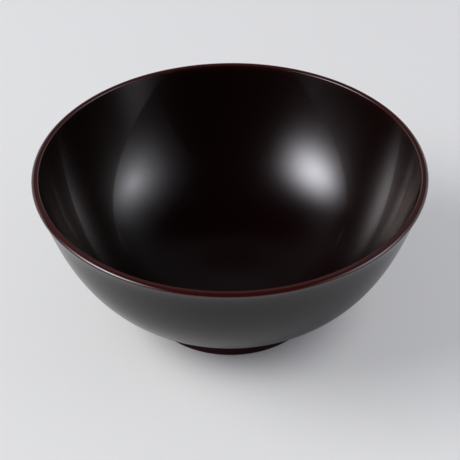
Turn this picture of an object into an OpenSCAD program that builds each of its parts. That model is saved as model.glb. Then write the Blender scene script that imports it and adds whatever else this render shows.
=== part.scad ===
// Open lacquered bowl on a turned foot, drawn as it is made: a turned wooden core, cloth bands
// on the parts that take knocks, ground coats, red middle coats and dark top coats.
// The origin is the middle of the foot's underside and Z points up. All lengths are in mm.

/* [Bowl] */
// Diameter over the lip
rim_d = 130; // [118:1:145]
// Height from the table to the top of the lip
bowl_h = 56.7; // [48:0.1:70]
// Width of the lip, seen from above
lip_w = 2.2; // [1.9:0.1:4]
// Thickness of the floor, from the foot well to the inside
floor_t = 4.8; // [3:0.1:8]

/* [Outside] */
// Radius of the round on the lip's outer edge
lip_round_r = 1; // [0.8:0.05:1.3]
// Lean of the wall away from vertical, just under the lip
wall_lean = 25.5; // [10:0.5:35]
// How long the wall keeps that lean, as a share of its height
wall_run_share = 0.237; // [0.12:0.001:0.36]
// How far out the belly runs before it turns up, as a share of its overhang
belly_reach_share = 0.788; // [0.65:0.001:0.88]
// How far it rises on the way, as a share of the wall's height
belly_lift_share = 0.232; // [0.13:0.001:0.33]

/* [Inside] */
// Lean of the inside away from vertical, at the lip
inside_lean = 16.8; // [12:0.1:22]
// How long the inside keeps that lean, as a share of its depth
inside_run_share = 1.14; // [1.06:0.01:1.2]
// How long the inside floor stays level, as a share of its radius at the lip
floor_run_share = 0.363; // [0.3:0.001:0.4]

/* [Foot] */
// Diameter of the foot at its widest, close to the table
foot_d = 59.4; // [52:0.1:66]
// How far the foot flares out past the neck, where it meets the belly
foot_flare = 0.7; // [0:0.1:1.5]
// Height of the neck above the table
neck_h = 7.3; // [6:0.1:10]
// Radius of the hollow round at the neck
neck_r = 0.8; // [0.4:0.05:1.5]
// Width of the foot ring where it stands
foot_w = 3.4; // [2.6:0.1:6]
// Radius of the soft edges of the foot ring
foot_edge_r = 0.9; // [0.8:0.05:1.2]
// Depth of the hollow under the bowl
well_depth = 5.5; // [3.5:0.1:7]
// Radius of the hollow round at the well's ceiling
well_r = 2; // [0.5:0.1:2.5]

/* [Coats] */
// Thickness of the dark top coats
top_coat_t = 0.12; // [0.1:0.01:0.15]
// Thickness of the red middle coats
red_coat_t = 0.12; // [0.1:0.01:0.15]
// Thickness of the ground coats
ground_t = 0.25; // [0.15:0.01:0.3]
// Thickness of the cloth under the ground
cloth_t = 0.2; // [0.1:0.01:0.2]
// Depth of the cloth band below the lip
rim_cloth_h = 9; // [5:0.5:20]
// Height of the cloth band round the foot
foot_cloth_h = 4.8; // [3:0.1:5]
// Diameter of the cloth on the inside floor
floor_cloth_d = 46; // [30:1:60]

/* [Hidden] */
// Straight stretches that stand for a long curve, for a small round, and for a full turn
curve_steps = 32;
round_steps = 8;
turn_steps = 180;
// How far a cut runs past what it cuts
overrun = 5;

// Depth below the finished surface at which each layer ends
red_depth = top_coat_t;
ground_depth = red_depth + red_coat_t;
wood_depth = ground_depth + ground_t;
cloth_depth = wood_depth + cloth_t;

rim_r = rim_d / 2;
foot_r = foot_d / 2;
foot_inner_r = foot_r - foot_w;
floor_h = well_depth + floor_t;

// The lip's outer round ends where the wall takes over
lip_centre = [rim_r - lip_round_r, bowl_h - lip_round_r];
lip_end = lip_centre + lip_round_r * [cos(wall_lean), -sin(wall_lean)];

// Control points of the outside wall, from the lip down to the neck
neck = [foot_r - foot_flare, neck_h];
wall_h = bowl_h - neck_h;
overhang = rim_r - neck[0];
wall_run = wall_run_share * wall_h;
belly_run = [belly_reach_share * overhang, belly_lift_share * wall_h];
wall_controls = [
    lip_end,
    lip_end - wall_run * [sin(wall_lean), cos(wall_lean)],
    neck + belly_run,
    neck
];

// Rise of the belly above horizontal, where it meets the neck
belly_rise = atan2(belly_run[1], belly_run[0]);

// Control points of the inside, from the lip down to the middle of the floor
inner_edge = [rim_r - lip_w, bowl_h];
floor_centre = [0, floor_h];
inside_run = inside_run_share * (bowl_h - floor_h);
floor_run = floor_run_share * inner_edge[0];
inside_controls = [
    inner_edge,
    inner_edge - inside_run * [sin(inside_lean), cos(inside_lean)],
    floor_centre + [floor_run, 0],
    floor_centre
];

// The hollow round at the neck, the soft edges of the foot, and the round at the well's ceiling
neck_centre = neck + neck_r * [sin(belly_rise), -cos(belly_rise)];
foot_outer_centre = [foot_r - foot_edge_r, foot_edge_r];
foot_inner_centre = [foot_inner_r + foot_edge_r, foot_edge_r];
well_centre = [foot_inner_r - well_r, well_depth - well_r];

// Angle at which the foot's side faces, as the straight line that touches both of its rounds
side_way = foot_outer_centre - neck_centre;
side_angle = atan2(side_way[1], side_way[0])
    + acos(-(neck_r + foot_edge_r) / norm(side_way));

// A point of a cubic curve, and the direction in which the curve runs there
function curve_point(c, t) =
    pow(1 - t, 3) * c[0] + 3 * pow(1 - t, 2) * t * c[1]
    + 3 * (1 - t) * pow(t, 2) * c[2] + pow(t, 3) * c[3];
function curve_way(c, t) =
    let (v = pow(1 - t, 2) * (c[1] - c[0]) + 2 * (1 - t) * t * (c[2] - c[1])
        + pow(t, 2) * (c[3] - c[2]))
    v / norm(v);

// A curve moved sideways: to its left by a depth, or to its right by a depth below zero
function curve_at_depth(c, depth) = [
    for (i = [0 : curve_steps])
        let (t = i / curve_steps, v = curve_way(c, t))
            curve_point(c, t) + depth * [v[1], -v[0]]
];

// Points along an arc
function arc(centre, r, from, to) = [
    for (i = [0 : round_steps])
        let (a = from + (to - from) * i / round_steps)
            centre + r * [cos(a), sin(a)]
];

// Half outline of everything within the outside surface, the hollow of the bowl filled in
function outside_outline(depth) = concat(
    [[0, bowl_h - depth]],
    arc(lip_centre, lip_round_r - depth, 90, -wall_lean),
    curve_at_depth(wall_controls, depth),
    arc(neck_centre, neck_r + depth, 90 + belly_rise, 180 + side_angle),
    arc(foot_outer_centre, foot_edge_r - depth, side_angle, -90),
    arc(foot_inner_centre, foot_edge_r - depth, -90, -180),
    arc(well_centre, well_r + depth, 0, 90),
    [[0, well_depth + depth]]
);

// Half outline of the hollow of the bowl, run on past the lip
function inside_outline(depth) =
    let (line = curve_at_depth(inside_controls, -depth))
        concat(
            [[0, bowl_h + overrun], line[0] + overrun * [tan(inside_lean), 1]],
            line
        );

// Half section of the bowl under all layers down to a depth
module bowl_section(depth) {
    difference() {
        polygon(outside_outline(depth));
        polygon(inside_outline(depth));
    }
}

// Half section of a layer on the inside of the bowl
module inner_layer(from, to) {
    intersection() {
        bowl_section(from);
        polygon(inside_outline(to));
    }
}

// Half section of a layer on the lip, the wall, the foot and the foot well
module outer_layer(from, to) {
    difference() {
        polygon(outside_outline(from));
        polygon(outside_outline(to));
        polygon(inside_outline(to));
    }
}

// Zones that part a layer into its bands
module above(h) {
    translate([0, h])
        square([rim_d, bowl_h]);
}

module below(h) {
    translate([0, h - bowl_h])
        square([rim_d, bowl_h]);
}

module within(r) {
    translate([0, -overrun])
        square([r, bowl_h]);
}

// The foot well's own coat starts above the foot ring's soft inner edge
module well_zone() {
    intersection() {
        above(foot_edge_r);
        within(foot_inner_r + red_depth);
    }
}

module turned() {
    rotate_extrude($fn = turn_steps)
        children();
}

// Half sections of the three cloths, which lie in shallow steps of the wood
module rim_cloth_section() {
    intersection() {
        difference() {
            bowl_section(wood_depth);
            bowl_section(cloth_depth);
        }
        above(bowl_h - rim_cloth_h);
    }
}

module foot_cloth_section() {
    difference() {
        intersection() {
            outer_layer(wood_depth, cloth_depth);
            below(foot_cloth_h);
        }
        within(foot_inner_r);
    }
}

module floor_cloth_section() {
    intersection() {
        inner_layer(wood_depth, cloth_depth);
        within(floor_cloth_d / 2);
    }
}

// Turned wooden core
module wood_core() {
    color("burlywood")
        turned()
            difference() {
                bowl_section(wood_depth);
                rim_cloth_section();
                foot_cloth_section();
                floor_cloth_section();
            }
}

// Cloth folded over the lip
module rim_cloth() {
    color("tan")
        turned()
            rim_cloth_section();
}

// Cloth folded round the foot ring
module foot_cloth() {
    color("tan")
        turned()
            foot_cloth_section();
}

// Round of cloth on the inside floor
module floor_cloth() {
    color("tan")
        turned()
            floor_cloth_section();
}

// Ground that fills and levels the wood and the cloth
module inner_ground_coat() {
    color("dimgray")
        turned()
            inner_layer(ground_depth, wood_depth);
}

module outer_ground_coat() {
    color("dimgray")
        turned()
            outer_layer(ground_depth, wood_depth);
}

// Red coats, which glow through where the top coat is thin
module inner_red_coat() {
    color("firebrick")
        turned()
            inner_layer(red_depth, ground_depth);
}

module outer_red_coat() {
    color("firebrick")
        turned()
            outer_layer(red_depth, ground_depth);
}

// Dark top coat inside the bowl, which ends in a crisp line at the lip
module inner_top_coat() {
    color("#120c0d")
        turned()
            inner_layer(0, red_depth);
}

// Thin red-brown top coat over the lip
module lip_top_coat() {
    color("#3a1416")
        turned()
            intersection() {
                outer_layer(0, red_depth);
                above(lip_end[1]);
            }
}

// Dark top coat on the wall, from the lip to the neck
module outer_top_coat() {
    color("#160f10")
        turned()
            difference() {
                outer_layer(0, red_depth);
                above(lip_end[1]);
                below(neck_h);
            }
}

// Red-brown top coat on the foot ring, which stands on the table
module foot_top_coat() {
    color("#2a1213")
        turned()
            difference() {
                intersection() {
                    outer_layer(0, red_depth);
                    below(neck_h);
                }
                well_zone();
            }
}

// Dark top coat in the foot well
module well_top_coat() {
    color("#160f10")
        turned()
            intersection() {
                outer_layer(0, red_depth);
                well_zone();
            }
}

wood_core();
rim_cloth();
foot_cloth();
floor_cloth();
inner_ground_coat();
outer_ground_coat();
inner_red_coat();
outer_red_coat();
inner_top_coat();
lip_top_coat();
outer_top_coat();
foot_top_coat();
well_top_coat();
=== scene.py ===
import math

import bpy
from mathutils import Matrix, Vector


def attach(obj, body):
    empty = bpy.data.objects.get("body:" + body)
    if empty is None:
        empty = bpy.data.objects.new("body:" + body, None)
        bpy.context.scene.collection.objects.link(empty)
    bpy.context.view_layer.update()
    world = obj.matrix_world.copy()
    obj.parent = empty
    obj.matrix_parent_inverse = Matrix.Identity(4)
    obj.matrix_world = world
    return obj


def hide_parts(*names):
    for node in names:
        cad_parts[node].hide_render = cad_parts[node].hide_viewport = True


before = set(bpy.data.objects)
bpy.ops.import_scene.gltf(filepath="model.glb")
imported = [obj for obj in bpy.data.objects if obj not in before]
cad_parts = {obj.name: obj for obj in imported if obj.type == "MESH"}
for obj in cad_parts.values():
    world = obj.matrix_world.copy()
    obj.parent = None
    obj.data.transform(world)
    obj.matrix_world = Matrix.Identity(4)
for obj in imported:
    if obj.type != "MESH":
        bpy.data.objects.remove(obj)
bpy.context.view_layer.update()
print("frame loaded:", len(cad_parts), "nodes of the turned bowl")

# The bowl's form in metres: radius first, height second, from the middle of the foot's underside
bowlForm = {
    "rimRadius": 0.065,
    "bowlHeight": 0.0567,
    "lipWidth": 0.0022,
    "lipRound": 0.001,
    "floorHeight": 0.0103,
    "wallLean": 25.5,          # degrees away from upright, under the lip
    "wallRunShare": 0.237,
    "bellyReachShare": 0.788,
    "bellyLiftShare": 0.232,
    "insideLean": 16.8,
    "insideRunShare": 1.14,
    "floorRunShare": 0.363,
    "neckRadius": 0.029,
    "neckHeight": 0.0073,
    "neckRound": 0.0008,
    "footRadius": 0.0297,
    "footWidth": 0.0034,
    "footEdge": 0.0009,
    "wellDepth": 0.0055,
    "wellRound": 0.002,
    "coat": 0.00012,           # thickness of the dark top coats
    "turnSteps": 360,          # stretches round the bowl
    "curveSteps": 80,          # stretches along a long curve
    "curveToRound": 5,         # a long curve has this many times the stretches of a small round
    "fewestSteps": 6,          # but a round has at least these
    "endShare": 0.12,          # share of a stretch that the extra short step at a seam has
    "faceStep": 0.003,         # longest stretch of a coat's face
    "backStep": 0.006,         # and of its bonded back
    "axisReach": 1e-7,         # a point nearer to the axis than this is on it
}


def along(angle):
    return Vector((math.cos(math.radians(angle)), math.sin(math.radians(angle))))


def spread(steps):
    # shares from 0 to 1, with an extra short step at each end so that the shading runs true up to a seam
    inner = [i / steps for i in range(1, steps)]
    extra = bowlForm["endShare"] / steps
    return [0, extra, *inner, 1 - extra, 1]


def curveLine(controls, depth, steps):
    # a cubic curve, moved to its left by a depth
    line = []
    a, b, c, d = controls
    for t in spread(steps):
        u = 1 - t
        point = u ** 3 * a + 3 * u * u * t * b + 3 * u * t * t * c + t ** 3 * d
        way = (u * u * (b - a) + 2 * u * t * (c - b) + t * t * (d - c)).normalized()
        line.append(point + depth * Vector((way.y, -way.x)))
    return line


def arcLine(centre, radius, start, end, steps):
    return [centre + radius * along(start + (end - start) * t) for t in spread(steps)]


def bowlLines(form, depth, steps):
    # the runs of the bowl's outline at a depth under its finished surface
    f = form
    few = max(f["fewestSteps"], steps // f["curveToRound"])
    lipCentre = Vector((f["rimRadius"] - f["lipRound"], f["bowlHeight"] - f["lipRound"]))
    lipEnd = lipCentre + f["lipRound"] * along(-f["wallLean"])
    neck = Vector((f["neckRadius"], f["neckHeight"]))
    wallHeight = f["bowlHeight"] - f["neckHeight"]
    bellyRun = Vector((f["bellyReachShare"] * (f["rimRadius"] - f["neckRadius"]), f["bellyLiftShare"] * wallHeight))
    bellyRise = math.degrees(math.atan2(bellyRun.y, bellyRun.x))
    wall = [lipEnd, lipEnd - f["wallRunShare"] * wallHeight * along(90 - f["wallLean"]), neck + bellyRun, neck]
    innerEdge = Vector((f["rimRadius"] - f["lipWidth"], f["bowlHeight"]))
    floorMiddle = Vector((0, f["floorHeight"]))
    insideRun = f["insideRunShare"] * (f["bowlHeight"] - f["floorHeight"])
    inside = [innerEdge, innerEdge - insideRun * along(90 - f["insideLean"]),
              floorMiddle + Vector((f["floorRunShare"] * innerEdge.x, 0)), floorMiddle]
    neckCentre = neck + f["neckRound"] * along(bellyRise - 90)
    footOuter = Vector((f["footRadius"] - f["footEdge"], f["footEdge"]))
    footInner = Vector((f["footRadius"] - f["footWidth"] + f["footEdge"], f["footEdge"]))
    wellCentre = Vector((f["footRadius"] - f["footWidth"] - f["wellRound"], f["wellDepth"] - f["wellRound"]))
    side = footOuter - neckCentre
    sideAngle = math.degrees(math.atan2(side.y, side.x)
                             + math.acos(-(f["neckRound"] + f["footEdge"]) / side.length))
    return {
        "inside": curveLine(inside, -depth, steps),
        "lip": arcLine(lipCentre, f["lipRound"] - depth, 90, -f["wallLean"], 2 * few),
        "wall": curveLine(wall, depth, steps),
        "neck": arcLine(neckCentre, f["neckRound"] + depth, 90 + bellyRise, 180 + sideAngle, few),
        "foot": [*arcLine(footOuter, f["footEdge"] - depth, sideAngle, -90, few),
                 *arcLine(footInner, f["footEdge"] - depth, -90, -180, few)],
        "well": [*arcLine(wellCentre, f["wellRound"] + depth, 0, 90, few), Vector((0, f["wellDepth"] + depth))],
    }


def cornerRound(before, corner, after, radius, steps):
    # softens the corner of an outline with a small round
    toBefore = (before - corner).normalized()
    toAfter = (after - corner).normalized()
    half = toBefore.angle(toAfter) / 2
    middle = corner + (toBefore + toAfter).normalized() * radius / math.sin(half)
    start = corner + toBefore * radius / math.tan(half)
    end = corner + toAfter * radius / math.tan(half)
    a, b = start - middle, end - middle
    turn = a.angle_signed(b)
    line = []
    for t in spread(steps):
        c, s = math.cos(-turn * t), math.sin(-turn * t)
        line.append(middle + Vector((a.x * c - a.y * s, a.x * s + a.y * c)))
    return line


def stepped(line, longest):
    # the same line with its long straight stretches parted
    close = [line[0]]
    for p in line[1:]:
        count = math.ceil((p - close[-1]).length / longest)
        start = close[-1]
        close += [start.lerp(p, (k + 1) / count) for k in range(count)]
    return close


def slopedOutwards(line, start, bend):
    # lets a lip fall away from its inner edge in a slow curve that fades out early on the outer round,
    # so that the face stays above the red coat under it
    low, high = line[-1].y, max(p.y for p in line)
    sloped = []
    for p in line:
        share = (p.y - low) / (high - low)
        share = (share * share * (3 - 2 * share)) ** 3
        sloped.append(p - Vector((0, share * bend * max(0, p.x - start) ** 2)))
    return sloped


def turnedCoat(name, face, back, steps):
    # turns a coat: its finished face runs one way, its bonded back the other, and the ends are closed
    face, back = stepped(face, bowlForm["faceStep"]), stepped(back, bowlForm["backStep"])
    loop = [*face, *reversed(back)]
    corners = {0, len(face) - 1, len(face), len(loop) - 1}
    # a loop that runs clockwise would turn its faces inside out, so theirs are wound the other way
    area = sum(a.x * b.y - b.x * a.y for a, b in zip(loop, [*loop[1:], loop[0]]))
    winding = 1 if area > 0 else -1
    verts, rings = [], []
    for p in loop:
        if p.x < bowlForm["axisReach"]:
            rings.append([len(verts)])
            verts.append((0, 0, p.y))
        else:
            rings.append(list(range(len(verts), len(verts) + steps)))
            verts += [(p.x * math.cos(a), p.x * math.sin(a), p.y)
                      for a in (2 * math.pi * k / steps for k in range(steps))]
    faces = []
    for i, ring in enumerate(rings):
        other = rings[(i + 1) % len(rings)]
        if len(ring) == 1 and len(other) == 1:
            continue
        for k in range(steps):
            n = (k + 1) % steps
            a, b = ring[k % len(ring)], ring[n % len(ring)]
            c, d = other[n % len(other)], other[k % len(other)]
            faces.append([v for j, v in enumerate((a, b, c, d)) if v not in (a, b, c, d)[:j]][::winding])
    mesh = bpy.data.meshes.new(name)
    mesh.from_pydata(verts, [], faces)
    mesh.validate()
    mesh.shade_smooth()
    cornerVerts = {v for i in corners for v in rings[i] if len(rings[i]) > 1}
    ringOf = {v: i for i, ring in enumerate(rings) for v in ring}
    for edge in mesh.edges:
        a, b = edge.vertices
        if a in cornerVerts and b in cornerVerts and ringOf[a] == ringOf[b]:
            edge.use_edge_sharp = True
    mesh.update()
    piece = bpy.data.objects.new(name, mesh)
    bpy.context.scene.collection.objects.link(piece)
    return piece


def addNode(tree, kind, values=None, **settings):
    # a new node; a value that is another node's output is linked, any other is set
    made = tree.nodes.new(kind)
    for key, value in settings.items():
        setattr(made, key, value)
    for key, value in (values or {}).items():
        if isinstance(value, bpy.types.NodeSocket):
            tree.links.new(value, made.inputs[key])
        else:
            made.inputs[key].default_value = value
    return made


def calc(tree, operation, a, b=0.5, c=0.5, clamp=False):
    return addNode(tree, "ShaderNodeMath", {0: a, 1: b, 2: c}, operation=operation, use_clamp=clamp).outputs[0]


def ramp(tree, value, low, high, smooth=True):
    # 0 below low, 1 above high
    kind = "SMOOTHSTEP" if smooth else "LINEAR"
    return addNode(tree, "ShaderNodeMapRange", {"Value": value, "From Min": low, "From Max": high},
                   interpolation_type=kind).outputs["Result"]


def blendColour(tree, share, a, b):
    return addNode(tree, "ShaderNodeMix", {0: share, 6: a, 7: b}, data_type="RGBA").outputs[2]


def noise(tree, place, scale, detail=2.0, roughness=0.5):
    return addNode(tree, "ShaderNodeTexNoise",
                   {"Vector": place, "Scale": scale, "Detail": detail, "Roughness": roughness}).outputs["Fac"]


def objectPlace(tree):
    return addNode(tree, "ShaderNodeTexCoord").outputs["Object"]


def turnedPlace(tree, round, across):
    # a place measured as the lathe sees it: slow round the bowl, quick across its section
    apart = addNode(tree, "ShaderNodeSeparateXYZ", {0: objectPlace(tree)})
    x, y, z = apart.outputs
    radius = calc(tree, "SQRT", calc(tree, "ADD", calc(tree, "MULTIPLY", x, x), calc(tree, "MULTIPLY", y, y)))
    safe = calc(tree, "MAXIMUM", radius, 0.001)
    section = calc(tree, "MULTIPLY", calc(tree, "ADD", radius, z), across)
    return addNode(tree, "ShaderNodeCombineXYZ", {
        "X": calc(tree, "MULTIPLY", calc(tree, "DIVIDE", x, safe), round),
        "Y": calc(tree, "MULTIPLY", calc(tree, "DIVIDE", y, safe), round),
        "Z": section}).outputs[0]


def socketKind(colour):
    return "NodeSocketColor" if colour else "NodeSocketFloat"


def newGroup(name, inputs, outputs):
    # a shader node group; a colour input is given as three numbers, any other as one
    group = bpy.data.node_groups.new(name, "ShaderNodeTree")
    for label, start in inputs.items():
        colour = isinstance(start, tuple)
        socket = group.interface.new_socket(label, in_out="INPUT", socket_type=socketKind(colour))
        socket.default_value = (*start, 1) if colour else start
    for label, kind in outputs.items():
        group.interface.new_socket(label, in_out="OUTPUT", socket_type=socketKind(kind == "colour"))
    return group, group.nodes.new("NodeGroupInput").outputs, group.nodes.new("NodeGroupOutput").inputs


# Marks that every polished coat can have; heights are shares of the material's relief
polishMarks = {
    "waveScale": 55, "waveDetail": 1.5,
    "strokesRound": 15.0, "strokesAcross": 7.0,
    "brushRound": 2.4, "brushAcross": 420, "brushHeight": 0.018,
    "fineRound": 5.0, "fineAcross": 2600, "fineHeight": 0.0025,
    "cloudScale": 120, "fineShare": 0.5, "unevenMiddle": 0.75,    # the middle that uneven gloss swings about
    "speckScale": 330, "speckEdge": 0.16, "speckCore": 0.02,
    "speckFrom": 0.93, "speckTo": 0.95,    # of all the cells, only those above this hold a speck
    "speckHeight": 0.06, "speckDull": 0.15,
}


def makePolishedSkin():
    # what brush, paper and palm leave in a coat: waves, strokes up the wall, turning marks, specks and uneven gloss
    m = polishMarks
    group, given, out = newGroup(
        "polishedSkin",
        {"Gloss": 0.2, "Uneven": 0.04, "Wave": 1.0, "Strokes": 0.0, "Turning": 1.0, "Specks": 1.0},
        {"Roughness": "value", "Height": "value"})
    place = objectPlace(group)
    wave = noise(group, place, m["waveScale"], m["waveDetail"])
    strokes = noise(group, turnedPlace(group, m["strokesRound"], m["strokesAcross"]), 1, 1.0)
    brush = noise(group, turnedPlace(group, m["brushRound"], m["brushAcross"]), 1, 3.0, 0.6)
    fine = noise(group, turnedPlace(group, m["fineRound"], m["fineAcross"]), 1, 2.0)
    cloud = noise(group, place, m["cloudScale"], 4.0, 0.6)
    cells = addNode(group, "ShaderNodeTexVoronoi", {"Vector": place, "Scale": m["speckScale"]}, feature="F1")
    near = ramp(group, cells.outputs["Distance"], m["speckEdge"], m["speckCore"])
    pick = addNode(group, "ShaderNodeSeparateColor", {0: cells.outputs["Color"]}).outputs[0]
    speck = calc(group, "MULTIPLY", near, ramp(group, pick, m["speckFrom"], m["speckTo"]))
    height = calc(group, "MULTIPLY", wave, given["Wave"])
    height = calc(group, "MULTIPLY_ADD", strokes, given["Strokes"], height)
    height = calc(group, "MULTIPLY_ADD", brush, calc(group, "MULTIPLY", given["Turning"], m["brushHeight"]), height)
    height = calc(group, "MULTIPLY_ADD", fine, calc(group, "MULTIPLY", given["Turning"], m["fineHeight"]), height)
    height = calc(group, "MULTIPLY_ADD", speck, calc(group, "MULTIPLY", given["Specks"], m["speckHeight"]), height)
    rough = calc(group, "ADD", cloud, calc(group, "MULTIPLY", fine, m["fineShare"]))
    rough = calc(group, "SUBTRACT", rough, m["unevenMiddle"])
    rough = calc(group, "MULTIPLY_ADD", rough, given["Uneven"], given["Gloss"])
    rough = calc(group, "MULTIPLY_ADD", speck, m["speckDull"], rough, clamp=True)
    group.links.new(rough, out["Roughness"])
    group.links.new(height, out["Height"])
    return group


filmClouds = {"turnedRound": 1.6, "turnedAcross": 60, "slowScale": 22}


def makeLacquerDepth():
    # lacquer is a dark amber film: almost black where it is thick, and the red under it shows where it is thin
    group, given, out = newGroup(
        "lacquerDepth",
        {"Deep": (0.006, 0.002, 0.002), "Thin": (0.06, 0.01, 0.008), "Thin From": 0.05, "Thin To": 0.06, "Cloudy": 0.2},
        {"Colour": "colour", "Thinness": "value"})
    place = objectPlace(group)
    z = addNode(group, "ShaderNodeSeparateXYZ", {0: place}).outputs["Z"]
    cloud = noise(group, turnedPlace(group, filmClouds["turnedRound"], filmClouds["turnedAcross"]), 1, 3.0)
    slow = noise(group, place, filmClouds["slowScale"], 2.0)
    thin = ramp(group, z, given["Thin From"], given["Thin To"])
    drift = calc(group, "SUBTRACT", calc(group, "ADD", cloud, slow), 1.0)
    thin = calc(group, "ADD", thin, calc(group, "MULTIPLY", drift, given["Cloudy"]), clamp=True)
    group.links.new(blendColour(group, thin, given["Deep"], given["Thin"]), out["Colour"])
    group.links.new(thin, out["Thinness"])
    return group


polishedSkin = makePolishedSkin()
lacquerDepth = makeLacquerDepth()


def newMaterial(name):
    material = bpy.data.materials.new(name)
    material.use_nodes = True
    tree = material.node_tree
    tree.nodes.clear()
    shader = addNode(tree, "ShaderNodeBsdfPrincipled")
    addNode(tree, "ShaderNodeOutputMaterial", {"Surface": shader.outputs[0]})
    return material, tree, shader


def placeGroup(tree, group, **values):
    made = tree.nodes.new("ShaderNodeGroup")
    made.node_tree = group
    for label, value in values.items():
        made.inputs[label].default_value = (*value, 1) if isinstance(value, tuple) else value
    return made


def relief(tree, shader, height, distance):
    bump = addNode(tree, "ShaderNodeBump", {"Height": height, "Distance": distance, "Strength": 1.0})
    tree.links.new(bump.outputs[0], shader.inputs["Normal"])


def lacquerMaterial(name, look):
    material, tree, shader = newMaterial(name)
    depth = placeGroup(tree, lacquerDepth, Deep=look["deep"], Thin=look["thin"], Cloudy=look["cloudy"],
                       **{"Thin From": look["thinFrom"], "Thin To": look["thinTo"]})
    skin = placeGroup(tree, polishedSkin, Gloss=look["gloss"], Uneven=look["uneven"], Wave=look["wave"],
                      Strokes=look["strokes"], Turning=look["turning"], Specks=look["specks"])
    tree.links.new(depth.outputs["Colour"], shader.inputs["Base Color"])
    tree.links.new(skin.outputs["Roughness"], shader.inputs["Roughness"])
    relief(tree, shader, skin.outputs["Height"], look["relief"])
    shader.inputs["IOR"].default_value = look["ior"]
    shader.inputs["Specular IOR Level"].default_value = look["shine"]
    if "glaze" in look:
        height = addNode(tree, "ShaderNodeSeparateXYZ", {0: objectPlace(tree)}).outputs["Z"]
        glaze = calc(tree, "MULTIPLY", ramp(tree, height, look["glazeFrom"], look["glazeTo"]), look["glaze"])
        tree.links.new(glaze, shader.inputs["Coat Weight"])
        shader.inputs["Coat Roughness"].default_value = look["glazeGloss"]
        shader.inputs["Coat IOR"].default_value = look["glazeIor"]
        shader.inputs["Coat Tint"].default_value = (*look["glazeTint"], 1)
    return material


def coatPiece(name, node, face, back, look):
    piece = turnedCoat(name, face, back, bowlForm["turnSteps"])
    piece.data.materials.append(lacquerMaterial(look["slot"], look))
    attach(piece, "root")
    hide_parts(node)
    print(name, "turned with", len(piece.data.vertices), "corners")
    return piece


skin = bowlLines(bowlForm, 0, bowlForm["curveSteps"])
under = bowlLines(bowlForm, bowlForm["coat"], bowlForm["curveSteps"] // 2)

# Inside: almost black, with a red glow close to the lip, where the coat was drawn thin
insideLook = {
    "slot": "inner_lacquer",
    "deep": (0.0036, 0.0003, 0.0004),
    "thin": (0.012, 0.0022, 0.0018),
    "thinFrom": 0.0540, "thinTo": 0.0572,
    "cloudy": 0.05,
    "gloss": 0.25, "uneven": 0.05, "wave": 0.15, "strokes": 1.6, "turning": 0.6, "specks": 0.5,
    "relief": 0.00001,
    "ior": 1.5, "shine": 0.38, "glaze": 1.0, "glazeGloss": 0.035, "glazeIor": 1.39, "glazeTint": (1.0, 0.90, 0.84),
    "glazeFrom": 0.0125, "glazeTo": 0.027,    # the floor under it is rubbed dull
}
# Lip: thin red-brown band between a crisp inner edge and a round outer one
lipLook = {
    "slot": "lip_lacquer",
    "deep": (0.030, 0.0043, 0.0038),
    "thin": (0.045, 0.0070, 0.0057),
    "thinFrom": 0.0566, "thinTo": 0.0568,
    "cloudy": 0.25,
    "edgeRound": 0.0005, "edgeSteps": 8,
    "edgeAim": 5,              # the point of the inside line that the edge's round aims at
    "edgeGap": 0.00002,        # least height between that round and the inside's next point
    "topStep": 0.0001,         # longest stretch of the lip's top
    "slopeBend": 35.0,         # half the slope gained for each metre outwards; much more would cut through the coat
    "gloss": 0.1, "uneven": 0.04, "wave": 0.3, "strokes": 0.0, "turning": 0.5, "specks": 0.4,
    "relief": 0.000008,
    "ior": 1.5, "shine": 0.75,
}
# Wall and belly: almost black
outsideLook = {
    "slot": "outer_lacquer",
    "deep": (0.0055, 0.0026, 0.0026),
    "thin": (0.016, 0.0045, 0.004),
    "thinFrom": 0.0545, "thinTo": 0.0562,
    "cloudy": 0.06,
    "gloss": 0.2, "uneven": 0.05, "wave": 0.4, "strokes": 0.0, "turning": 0.6, "specks": 0.5,
    "relief": 0.00001,
    "ior": 1.5, "shine": 0.22,
}
# Foot ring: dark red-brown, palest where it stands
footLook = {
    "slot": "foot_lacquer",
    "deep": (0.026, 0.0062, 0.0055),
    "thin": (0.034, 0.0080, 0.0068),
    "thinFrom": 0.0012, "thinTo": 0.0,
    "cloudy": 0.3,
    "gloss": 0.33, "uneven": 0.08, "wave": 0.6, "strokes": 0.0, "turning": 2.0, "specks": 1.2,
    "relief": 0.00001,
    "ior": 1.5, "shine": 0.08,
}
# Foot well: as dark as the wall, a little duller
wellLook = {
    "slot": "well_lacquer",
    "deep": (0.0052, 0.0024, 0.0024),
    "thin": (0.014, 0.0042, 0.0038),
    "thinFrom": 0.002, "thinTo": 0.0,
    "cloudy": 0.08,
    "gloss": 0.28, "uneven": 0.08, "wave": 1.0, "strokes": 0.0, "turning": 2.0, "specks": 1.0,
    "relief": 0.00001,
    "ior": 1.5, "shine": 0.5,
}

# The lip's inner edge is crisp but not sharp, and its small round belongs to the lip
softEdge = cornerRound(skin["inside"][lipLook["edgeAim"]], skin["inside"][0], skin["lip"][0],
                       lipLook["edgeRound"], lipLook["edgeSteps"])
insideFace = [p for p in skin["inside"] if p.y < softEdge[0].y - lipLook["edgeGap"]]
bedHeight = bowlForm["bowlHeight"] - bowlForm["coat"]
insideBack = [p for p in under["inside"] if p.y < bedHeight]
bedReach = (bedHeight - insideBack[0].y) * math.tan(math.radians(bowlForm["insideLean"]))
bedCorner = Vector((insideBack[0].x + bedReach, bedHeight))

lipTop = stepped([softEdge[-1], skin["lip"][0]], lipLook["topStep"])[1:-1]
lipFace = slopedOutwards([*softEdge, *lipTop, *skin["lip"]], skin["inside"][0].x, lipLook["slopeBend"])

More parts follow.
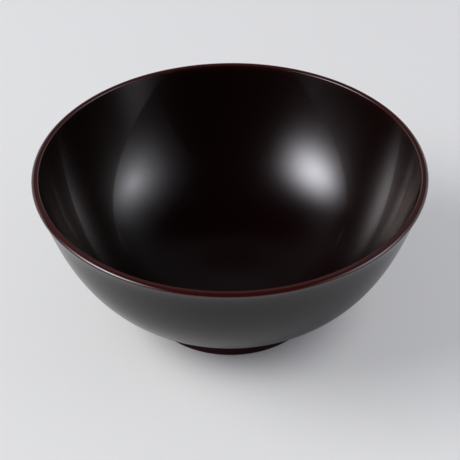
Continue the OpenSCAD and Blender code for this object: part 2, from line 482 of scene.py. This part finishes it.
coatPiece("inside_coat", "inner_top_coat", [softEdge[0], *insideFace], [bedCorner, *insideBack], insideLook)
coatPiece("lip_coat", "lip_top_coat", lipFace, [bedCorner, *under["lip"]], lipLook)
coatPiece("outside_coat", "outer_top_coat", skin["wall"], under["wall"], outsideLook)
coatPiece("foot_coat", "foot_top_coat", [*skin["neck"], *skin["foot"]], [*under["neck"], *under["foot"]], footLook)
coatPiece("well_coat", "well_top_coat", [skin["foot"][-1], *skin["well"]], [under["foot"][-1], *under["well"]],
          wellLook)


# Hidden layers keep their turned solids and get their own stuff
def dress(node, material):
    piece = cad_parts[node]
    if not piece.material_slots:
        piece.data.materials.append(material)
    for held in piece.material_slots:
        held.material = material


def tones(tree, shader, share, first, last):
    # colours a shader from one tone to another
    tree.links.new(blendColour(tree, share, (*first, 1), (*last, 1)), shader.inputs["Base Color"])


redLook = {
    "dark": (0.30, 0.035, 0.025), "light": (0.40, 0.055, 0.035), "cloudScale": 90,
    "gloss": 0.42, "uneven": 0.1, "wave": 1.0, "turning": 3.0, "specks": 1.5, "relief": 0.00002,
}


def redMaterial():
    material, tree, shader = newMaterial("redMiddleCoat")
    marks = placeGroup(tree, polishedSkin, Gloss=redLook["gloss"], Uneven=redLook["uneven"], Wave=redLook["wave"],
                       Turning=redLook["turning"], Specks=redLook["specks"])
    tones(tree, shader, noise(tree, objectPlace(tree), redLook["cloudScale"], 4.0, 0.6),
          redLook["dark"], redLook["light"])
    tree.links.new(marks.outputs["Roughness"], shader.inputs["Roughness"])
    relief(tree, shader, marks.outputs["Height"], redLook["relief"])
    return material


clayLook = {
    "dark": (0.085, 0.08, 0.075), "light": (0.15, 0.135, 0.12),
    "grainScale": 2600, "sandedRound": 6.0, "sandedAcross": 1800,
    "dullFrom": 1.6, "dullTo": -0.4, "relief": 0.00004,
}


def clayMaterial():
    material, tree, shader = newMaterial("clayGround")
    grain = noise(tree, objectPlace(tree), clayLook["grainScale"], 5.0, 0.7)
    sanded = noise(tree, turnedPlace(tree, clayLook["sandedRound"], clayLook["sandedAcross"]), 1, 4.0, 0.6)
    both = calc(tree, "MULTIPLY", calc(tree, "ADD", grain, sanded), 0.5)
    tones(tree, shader, both, clayLook["dark"], clayLook["light"])
    tree.links.new(ramp(tree, both, clayLook["dullFrom"], clayLook["dullTo"]), shader.inputs["Roughness"])
    relief(tree, shader, both, clayLook["relief"])
    return material


hempLook = {
    "dark": (0.26, 0.19, 0.12), "light": (0.50, 0.40, 0.27),
    "threadsPerMetre": 1100, "weaveHeight": 0.5,
    "fibreScale": 5200, "fibreHeight": 0.3, "middle": 0.35,
    "toneFrom": -0.1, "toneTo": 1.1, "dullFrom": -1.2, "dullTo": 1.4, "relief": 0.00012,
}


def hempMaterial():
    # plain weave: warp and weft pass over each other by turns
    material, tree, shader = newMaterial("hempCloth")
    place = objectPlace(tree)
    turn = hempLook["threadsPerMetre"] * math.pi
    apart = addNode(tree, "ShaderNodeSeparateXYZ", {0: place}).outputs
    warp = calc(tree, "SINE", calc(tree, "MULTIPLY", calc(tree, "ADD", apart["X"], apart["Z"]), turn))
    weft = calc(tree, "SINE", calc(tree, "MULTIPLY", calc(tree, "SUBTRACT", apart["Y"], apart["Z"]), turn))
    fibre = noise(tree, place, hempLook["fibreScale"], 3.0, 0.7)
    height = calc(tree, "MULTIPLY_ADD", fibre, hempLook["fibreHeight"], hempLook["middle"])
    height = calc(tree, "MULTIPLY_ADD", calc(tree, "MULTIPLY", warp, weft), hempLook["weaveHeight"], height)
    tones(tree, shader, ramp(tree, height, hempLook["toneFrom"], hempLook["toneTo"]),
          hempLook["dark"], hempLook["light"])
    tree.links.new(ramp(tree, fibre, hempLook["dullFrom"], hempLook["dullTo"]), shader.inputs["Roughness"])
    relief(tree, shader, height, hempLook["relief"])
    return material


woodLook = {
    "light": (0.66, 0.47, 0.29), "dark": (0.46, 0.29, 0.15),
    "heartPlace": (0.09, 0.02, 0.03), "heartTurn": (0.12, 1.5, 0.2),
    "ringsPerMetre": 420, "ringWander": 3.5, "ringDetail": 3.0, "ringFineness": 0.6,
    "poreScale": 3400, "poreStretch": (1, 1, 0.08), "ringShare": 0.65, "poreShare": 0.35,
    "dullFrom": 2.2, "dullTo": -0.9, "relief": 0.00005,
}


def woodMaterial():
    # growth rings of a blank cut from beside the heart, with fine pores
    material, tree, shader = newMaterial("turnedWood")
    look = woodLook
    place = addNode(tree, "ShaderNodeMapping", {
        0: objectPlace(tree), "Location": look["heartPlace"], "Rotation": look["heartTurn"]}).outputs[0]
    rings = addNode(tree, "ShaderNodeTexWave", {
        "Vector": place, "Scale": look["ringsPerMetre"] / 6.28, "Distortion": look["ringWander"],
        "Detail": look["ringDetail"], "Detail Scale": look["ringFineness"]},
        wave_type="RINGS", rings_direction="Z").outputs["Fac"]
    drawnOut = addNode(tree, "ShaderNodeMapping", {0: place, "Scale": look["poreStretch"]}).outputs[0]
    pores = noise(tree, drawnOut, look["poreScale"], 3.0, 0.65)
    tone = calc(tree, "MULTIPLY_ADD", rings, look["ringShare"], calc(tree, "MULTIPLY", pores, look["poreShare"]))
    tones(tree, shader, tone, look["light"], look["dark"])
    tree.links.new(ramp(tree, tone, look["dullFrom"], look["dullTo"]), shader.inputs["Roughness"])
    relief(tree, shader, pores, look["relief"])
    return material


redCoat, clayGround, hempCloth, turnedWood = redMaterial(), clayMaterial(), hempMaterial(), woodMaterial()
for node in ("inner_red_coat", "outer_red_coat"):
    dress(node, redCoat)
for node in ("inner_ground_coat", "outer_ground_coat"):
    dress(node, clayGround)
for node in ("rim_cloth", "foot_cloth", "floor_cloth"):
    dress(node, hempCloth)
dress("wood_core", turnedWood)
print("hidden layers dressed")


# Table: pale paper near the bowl, where it takes the shadow, with a painted glow that lightens that shadow, and an even
# pale ground far off
tableLook = {
    "rings": (0.05, 0.1, 0.2, 0.4, 0.8, 1.6, 4.0), "corners": 96,
    "hole": 0.024,                 # radius of a hole inside the foot ring, which lets light reach the foot well
    "paper": (0.775, 0.777, 0.785),
    "paperDark": 0.975, "paperLight": 1.02, "fibreScale": 900, "fibreShare": 0.35, "cloudScale": 14, "cloudShare": 0.65,
    "dull": 0.9, "shine": 0.2, "relief": 0.00006,
    "background": 0.76,            # what the far table and the backdrop show
    "backgroundBlue": 1.01,
    "shadowGlowShare": 0.43,            # share of that plain look beside the bowl: a painted glow that lightens the bowl's shadow for the camera
    # the painted glow fades out towards the foot, so the shadow stays deep close to it
    "shadowGlowFrom": 0.022, "shadowGlowTo": 0.052,
    "reflectedGlowShare": 0.48,           # and the share of it that the bowl's gloss sees beside the bowl: a painted glow that sets how bright the wall's reflection of the table is
    # that painted glow fades out close under the bowl
    "reflectedGlowFrom": 0.034, "reflectedGlowTo": 0.084,
    "farFrom": 0.5, "farTo": 1.3,  # between these radii the paper gives way to the plain ground
}


def tableMaterial():
    look = tableLook
    material, tree, shader = newMaterial("palePaper")
    place = objectPlace(tree)
    fibre = noise(tree, place, look["fibreScale"], 5.0, 0.7)
    cloud = noise(tree, place, look["cloudScale"], 3.0)
    tone = calc(tree, "MULTIPLY_ADD", fibre, look["fibreShare"], calc(tree, "MULTIPLY", cloud, look["cloudShare"]))
    dark = (*(c * look["paperDark"] for c in look["paper"]), 1)
    light = (*(min(1, c * look["paperLight"]) for c in look["paper"]), 1)
    tree.links.new(blendColour(tree, tone, dark, light), shader.inputs["Base Color"])
    shader.inputs["Roughness"].default_value = look["dull"]
    shader.inputs["Specular IOR Level"].default_value = look["shine"]
    relief(tree, shader, fibre, look["relief"])
    # far from the bowl the camera and reflections see an even pale ground; beside it painted glows lighten the bowl's
    # shadow for the camera and for the bowl's gloss; from below nothing
    radius = addNode(tree, "ShaderNodeVectorMath", {0: place}, operation="LENGTH").outputs["Value"]
    rays = addNode(tree, "ShaderNodeLightPath").outputs
    # painted glow that lightens the bowl's shadow for the camera
    near = calc(tree, "MULTIPLY", ramp(tree, radius, look["shadowGlowFrom"], look["shadowGlowTo"]),
                calc(tree, "MULTIPLY", rays["Is Camera Ray"], look["shadowGlowShare"]))
    # painted glow on the paper that only the bowl's gloss sees
    mirrored = calc(tree, "MULTIPLY", ramp(tree, radius, look["reflectedGlowFrom"], look["reflectedGlowTo"]),
                    calc(tree, "MULTIPLY", rays["Is Glossy Ray"], look["reflectedGlowShare"]))
    near = calc(tree, "MAXIMUM", near, mirrored)
    far = addNode(tree, "ShaderNodeMapRange", {
        "Value": radius, "From Min": look["farFrom"], "From Max": look["farTo"], "To Min": near},
        interpolation_type="SMOOTHSTEP").outputs["Result"]
    seen = calc(tree, "MAXIMUM", rays["Is Camera Ray"], rays["Is Glossy Ray"])
    level = look["background"]
    glow = addNode(tree, "ShaderNodeEmission", {
        "Color": (level, level, level * look["backgroundBlue"], 1), "Strength": 1.0})
    mixed = addNode(tree, "ShaderNodeMixShader", {
        0: calc(tree, "MULTIPLY", far, seen), 1: shader.outputs[0], 2: glow.outputs[0]})
    below = addNode(tree, "ShaderNodeNewGeometry").outputs["Backfacing"]
    clear = addNode(tree, "ShaderNodeBsdfTransparent")
    oneSided = addNode(tree, "ShaderNodeMixShader", {0: below, 1: mixed.outputs[0], 2: clear.outputs[0]})
    end = next(n for n in tree.nodes if n.type == "OUTPUT_MATERIAL")
    tree.links.new(oneSided.outputs[0], end.inputs["Surface"])
    return material


def makeTable():
    mesh = bpy.data.meshes.new("table")
    rings = [tableLook["hole"], *tableLook["rings"]]
    count = tableLook["corners"]
    verts = [(r * math.cos(a), r * math.sin(a), 0)
             for r in rings for a in (2 * math.pi * k / count for k in range(count))]
    faces = []
    for i in range(len(rings) - 1):
        a, b = i * count, (i + 1) * count
        faces += [(a + k, b + k, b + (k + 1) % count, a + (k + 1) % count) for k in range(count)]
    mesh.from_pydata(verts, [], faces)
    mesh.update()
    table = bpy.data.objects.new("table", mesh)
    bpy.context.scene.collection.objects.link(table)
    table.data.materials.append(tableMaterial())


# Two softboxes light the table and the bowl, and two glows are what the bowl's gloss shows of them
lampSetup = {
    "away": 1.5,                   # metres from the bowl; wide and tall are sizes as seen from one metre
    "lightTint": (1.0, 0.99, 0.95),
    "glowTint": (0.97, 1.02, 1.13),
    "glowFoot": 0.35,              # how much quicker a glow fades towards its foot
    "glowReach": 2.3, "skirtReach": 3.2,    # how far out a glow is drawn, and what its skirt adds to that
    "leftSoftbox": {"turn": -168.0, "rise": 44.0, "wide": 0.66, "tall": 0.54, "power": 9.5},
    "rightSoftbox": {"turn": -6.6, "rise": 30.0, "wide": 0.6, "tall": 0.34, "power": 1.0},
    "leftGlow": {"turn": -161.5, "rise": 30.6, "wide": 0.305, "tall": 0.24, "level": 12.6, "skirt": 0.0},
    "rightGlow": {"turn": -6.0, "rise": 28.2, "wide": 0.165, "tall": 0.122, "level": 5.1, "skirt": 1.0},
}


def makeLamp(name, turn, rise, wide, tall, power, colour, lights):
    # an area lamp that either lights the table and bowl or is the glow that their gloss shows
    lamp = bpy.data.lights.new(name, "AREA")
    lamp.shape = "RECTANGLE"
    away = lampSetup["away"]
    lamp.size, lamp.size_y = wide * away, tall * away
    lamp.energy = power * away * away
    lamp.color = colour
    held = bpy.data.objects.new(name, lamp)
    bpy.context.scene.collection.objects.link(held)
    held.visible_glossy = not lights
    held.visible_diffuse = lights
    t, e = math.radians(turn), math.radians(rise)
    towards = Vector((math.cos(e) * math.cos(t), math.cos(e) * math.sin(t), math.sin(e)))
    held.location = towards * away
    held.rotation_mode = "QUATERNION"
    held.rotation_quaternion = towards.to_track_quat("Z", "Y")
    return lamp


def makeGlow(name, turn, rise, wide, tall, level, skirt):
    # a softbox as a gloss shows it: brightest in its middle, fading outwards, quicker at its foot
    reach = lampSetup["glowReach"] + lampSetup["skirtReach"] * skirt
    power = level * math.pi * 4 * reach * reach * wide * tall
    lamp = makeLamp(name, turn, rise, 2 * reach * wide, 2 * reach * tall, power, lampSetup["glowTint"], False)
    lamp.use_nodes = True
    tree = lamp.node_tree
    tree.nodes.clear()
    spot = addNode(tree, "ShaderNodeNewGeometry").outputs["Parametric"]
    u, v, _ = addNode(tree, "ShaderNodeSeparateXYZ", {0: spot}).outputs
    across, up = calc(tree, "SUBTRACT", u, 0.5), calc(tree, "SUBTRACT", v, 0.5)
    quicker = calc(tree, "MULTIPLY_ADD", calc(tree, "LESS_THAN", up, 0.0), lampSetup["glowFoot"], 1.0)
    up = calc(tree, "MULTIPLY", up, quicker)
    out = calc(tree, "SQRT", calc(tree, "ADD", calc(tree, "MULTIPLY", across, across), calc(tree, "MULTIPLY", up, up)))
    out = calc(tree, "MULTIPLY", out, 2 * reach)
    fall = calc(tree, "DIVIDE", calc(tree, "MULTIPLY", out, out), calc(tree, "MULTIPLY_ADD", out, skirt, 1.0))
    glow = addNode(tree, "ShaderNodeEmission", {"Strength": calc(tree, "EXPONENT", calc(tree, "MULTIPLY", fall, -1.0))})
    addNode(tree, "ShaderNodeOutputLight", {"Surface": glow.outputs[0]})


# Room: heights are the upward part of a direction that is one long, and Y points to the far side
roomLook = {
    "ambient": 0.30,               # soft light from the whole room
    "ambientTint": (0.93, 0.96, 1.16),
    "plainTint": (0.985, 0.99, 1.03),
    "horizonShine": 0.7,           # pale ring round the horizon that a gloss sees
    "ringHeight": 0.006, "ringFarRise": 0.40, "ringFarFrom": 0.1, "ringFarTo": 0.6,
    "ringDark": 1.35, "ringPale": 0.95,    # shares of its height between which it fades upwards
    "asideFrom": 0.16, "asideTo": 0.32, "asideShare": 0.10,    # straight ahead it shines less
    "roomShine": 0.004,            # dark room above it
    "backShine": 0.14,             # and a faint band high on its far side
    "bandFoot": (0.44, 0.66), "bandTop": (0.86, 0.70), "bandFar": (0.0, 0.4),
}


def makeRoom():
    # pale backdrop for the camera; a gloss sees it low down, and above it a dark room with a faint band far off
    look = roomLook
    world = bpy.data.worlds.new("studioRoom")
    bpy.context.scene.world = world
    world.use_nodes = True
    tree = world.node_tree
    tree.nodes.clear()
    way = addNode(tree, "ShaderNodeTexCoord").outputs["Generated"]
    apart = addNode(tree, "ShaderNodeSeparateXYZ", {0: way}).outputs
    farSide = ramp(tree, apart["Y"], look["ringFarFrom"], look["ringFarTo"])
    top = calc(tree, "MULTIPLY_ADD", farSide, look["ringFarRise"], look["ringHeight"])
    low = ramp(tree, calc(tree, "DIVIDE", apart["Z"], top), look["ringDark"], look["ringPale"])
    aside = addNode(tree, "ShaderNodeMapRange", {
        "Value": calc(tree, "ABSOLUTE", apart["X"]), "From Min": look["asideFrom"], "From Max": look["asideTo"],
        "To Min": look["asideShare"]}, interpolation_type="SMOOTHSTEP").outputs["Result"]
    low = calc(tree, "MULTIPLY", low, aside)
    band = calc(tree, "MULTIPLY", ramp(tree, apart["Z"], *look["bandFoot"]), ramp(tree, apart["Z"], *look["bandTop"]))
    band = calc(tree, "MULTIPLY", band, ramp(tree, apart["Y"], *look["bandFar"]))
    shine = calc(tree, "MULTIPLY_ADD", band, look["backShine"], look["roomShine"])
    shine = calc(tree, "MULTIPLY_ADD", low, look["horizonShine"], shine)
    rays = addNode(tree, "ShaderNodeLightPath").outputs
    glossy = calc(tree, "MAXIMUM", rays["Is Glossy Ray"], rays["Is Transmission Ray"])
    level = addNode(tree, "ShaderNodeMix", {0: glossy, 2: look["ambient"], 3: shine}).outputs[0]
    level = addNode(tree, "ShaderNodeMix", {
        0: rays["Is Camera Ray"], 2: level, 3: tableLook["background"]}).outputs[0]
    plain = calc(tree, "MAXIMUM", glossy, rays["Is Camera Ray"])
    tint = blendColour(tree, plain, (*look["ambientTint"], 1), (*look["plainTint"], 1))
    back = addNode(tree, "ShaderNodeBackground", {"Color": tint, "Strength": level})
    addNode(tree, "ShaderNodeOutputWorld", {"Surface": back.outputs[0]})


makeTable()
for name in ("leftSoftbox", "rightSoftbox"):
    makeLamp(name, **lampSetup[name], colour=lampSetup["lightTint"], lights=True)
for name in ("leftGlow", "rightGlow"):
    makeGlow(name, **lampSetup[name])
makeRoom()

# Camera at the photograph's viewing angle
cameraView = {
    "sensor": 36, "lens": 123.87, "near": 0.05, "far": 20,
    "place": (0.0, -0.421997, 0.360539),
    "turn": (0.8988946, 0.4381356, 0.0023541, -0.0044980),
}
eye = bpy.data.cameras.new("photoView")
eye.sensor_width, eye.lens = cameraView["sensor"], cameraView["lens"]
eye.clip_start, eye.clip_end = cameraView["near"], cameraView["far"]
holder = bpy.data.objects.new("photoView", eye)
bpy.context.scene.collection.objects.link(holder)
holder.location = cameraView["place"]
holder.rotation_mode = "QUATERNION"
holder.rotation_quaternion = cameraView["turn"]
bpy.context.scene.camera = holder
bpy.context.scene.view_settings.view_transform = "Standard"
print("table, two softboxes with their glows, room and camera placed")
